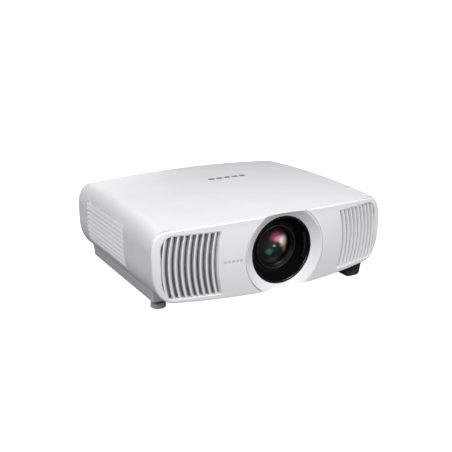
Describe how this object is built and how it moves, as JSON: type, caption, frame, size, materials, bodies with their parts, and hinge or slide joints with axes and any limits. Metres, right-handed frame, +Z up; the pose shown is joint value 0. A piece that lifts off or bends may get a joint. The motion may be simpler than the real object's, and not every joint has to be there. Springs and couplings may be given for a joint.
{
  "type": "home projector",
  "caption": "Wide low home cinema projector in white plastic, with a bowed front, a recessed lens in a round dish, slatted vents at both sides of it and louvres on its flanks.",
  "frame": {"origin": "on the floor, under the middle of the case's bounding box", "axes": "+Z up, the lens looks along -Y, +X is on the right of someone facing the lens"},
  "size_m": [0.52, 0.4465, 0.194],
  "materials": {
    "case_plastic": "fine satin texture",
    "button_plastic": "satin",
    "black_plastic": "satin black",
    "socket_metal": "nickel plated",
    "smoked_window": "smoked, glossy",
    "lens_glass": "coated, magenta and green reflections",
    "cast_aluminium": "as cast",
    "circuit_board": "green solder mask",
    "filter_foam": "open foam",
    "foot_rubber": "matt"
  },
  "bodies": {
    "case": {"top_cover": "case_plastic", "base_tray": "case_plastic", "front_bezel": "case_plastic", "lens_surround": "case_plastic", "left_front_grille": "case_plastic", "right_front_grille": "case_plastic", "right_side_louvre": "case_plastic", "rear_panel": "case_plastic", "receiver_window": "smoked_window", "top_mark": "case_plastic", "status_window": "smoked_window", "control_plate": "black_plastic", "hdmi_socket_1": "socket_metal", "hdmi_socket_2": "socket_metal", "usb_socket": "socket_metal", "network_socket": "socket_metal", "serial_socket": "black_plastic", "trigger_socket": "socket_metal", "power_inlet": "black_plastic", "lens_hood": "black_plastic", "lens_mount": "cast_aluminium", "optical_engine": "black_plastic", "prism_cube": "lens_glass", "green_panel": "socket_metal", "red_panel": "socket_metal", "blue_panel": "socket_metal", "light_source": "socket_metal", "heat_sink": "cast_aluminium", "left_fan_housing": "black_plastic", "right_fan_housing": "black_plastic", "power_supply": "circuit_board", "main_board": "circuit_board", "right_front_foot": "foot_rubber", "rear_left_foot": "foot_rubber", "rear_right_foot": "foot_rubber"},
    "filter_cover": {"filter_cover": "case_plastic", "air_filter": "filter_foam"},
    "control_door": {"control_door": "case_plastic"},
    "enter_button": {"enter_button": "button_plastic"},
    "up_button": {"up_button": "button_plastic"},
    "down_button": {"down_button": "button_plastic"},
    "left_button": {"left_button": "button_plastic"},
    "right_button": {"right_button": "button_plastic"},
    "power_button": {"power_button": "button_plastic"},
    "menu_button": {"menu_button": "button_plastic"},
    "back_button": {"back_button": "button_plastic"},
    "upright_carriage": {"upright_carriage": "cast_aluminium"},
    "across_carriage": {"across_carriage": "cast_aluminium", "lens_plate": "black_plastic", "lens_barrel": "black_plastic", "lens_ring": "black_plastic", "front_lens": "lens_glass", "rear_lens": "lens_glass"},
    "focus_ring": {"focus_ring": "black_plastic"},
    "zoom_ring": {"zoom_ring": "black_plastic"},
    "phosphor_wheel": {"phosphor_wheel": "cast_aluminium"},
    "left_impeller": {"left_impeller": "black_plastic"},
    "right_impeller": {"right_impeller": "black_plastic"},
    "left_foot_stem": {"left_foot_stem": "socket_metal"},
    "left_foot_disc": {"left_foot_disc": "foot_rubber"}
  },
  "joints": [
    {"name": "filter_cover_pull", "type": "slide", "parent": "case", "child": "filter_cover", "axis": [-1, 0, 0], "range_m": [0, 0.06]},
    {"name": "control_door_hinge", "type": "hinge", "parent": "case", "child": "control_door", "pos_m": [0.25875, -0.12, 0.09525], "axis": [0, 1, 0], "range_deg": [0, 90]},
    {"name": "enter_press", "type": "slide", "parent": "case", "child": "enter_button", "axis": [-1, 0, 0], "range_m": [0, 0.001], "stiffness_N_per_m": 400},
    {"name": "up_press", "type": "slide", "parent": "case", "child": "up_button", "axis": [-1, 0, 0], "range_m": [0, 0.001], "stiffness_N_per_m": 400},
    {"name": "down_press", "type": "slide", "parent": "case", "child": "down_button", "axis": [-1, 0, 0], "range_m": [0, 0.001], "stiffness_N_per_m": 400},
    {"name": "left_press", "type": "slide", "parent": "case", "child": "left_button", "axis": [-1, 0, 0], "range_m": [0, 0.001], "stiffness_N_per_m": 400},
    {"name": "right_press", "type": "slide", "parent": "case", "child": "right_button", "axis": [-1, 0, 0], "range_m": [0, 0.001], "stiffness_N_per_m": 400},
    {"name": "power_press", "type": "slide", "parent": "case", "child": "power_button", "axis": [-1, 0, 0], "range_m": [0, 0.001], "stiffness_N_per_m": 400},
    {"name": "menu_press", "type": "slide", "parent": "case", "child": "menu_button", "axis": [-1, 0, 0], "range_m": [0, 0.001], "stiffness_N_per_m": 400},
    {"name": "back_press", "type": "slide", "parent": "case", "child": "back_button", "axis": [-1, 0, 0], "range_m": [0, 0.001], "stiffness_N_per_m": 400},
    {"name": "lens_shift_upright", "type": "slide", "parent": "case", "child": "upright_carriage", "axis": [0, 0, 1], "range_m": [-0.0044, 0.0044]},
    {"name": "lens_shift_across", "type": "slide", "parent": "upright_carriage", "child": "across_carriage", "axis": [1, 0, 0], "range_m": [-0.0039, 0.0039]},
    {"name": "focus_turn", "type": "hinge", "parent": "across_carriage", "child": "focus_ring", "pos_m": [0, -0.1612, 0.1065], "axis": [0, -1, 0], "range_deg": [-60, 60]},
    {"name": "zoom_turn", "type": "hinge", "parent": "across_carriage", "child": "zoom_ring", "pos_m": [0, -0.1372, 0.1065], "axis": [0, -1, 0], "range_deg": [-45, 45]},
    {"name": "phosphor_wheel_spin", "type": "hinge", "parent": "case", "child": "phosphor_wheel", "pos_m": [-0.069, 0.0268, 0.1065], "axis": [1, 0, 0], "continuous": true},
    {"name": "left_fan_spin", "type": "hinge", "parent": "case", "child": "left_impeller", "pos_m": [-0.188, -0.138, 0.1065], "axis": [0, 1, 0], "continuous": true},
    {"name": "right_fan_spin", "type": "hinge", "parent": "case", "child": "right_impeller", "pos_m": [0.188, -0.138, 0.1065], "axis": [0, 1, 0], "continuous": true},
    {"name": "left_foot_extend", "type": "slide", "parent": "case", "child": "left_foot_stem", "axis": [0, 0, -1], "range_m": [0, 0.025]},
    {"name": "left_foot_turn", "type": "hinge", "parent": "left_foot_stem", "child": "left_foot_disc", "pos_m": [-0.216, -0.112, 0.0045], "axis": [0, 0, 1], "range_deg": [0, 4500]}
  ],
  "couplings": [
    {"joint": "left_foot_turn", "follows": "left_foot_extend", "rad_per_m": 3141.6}
  ]
}
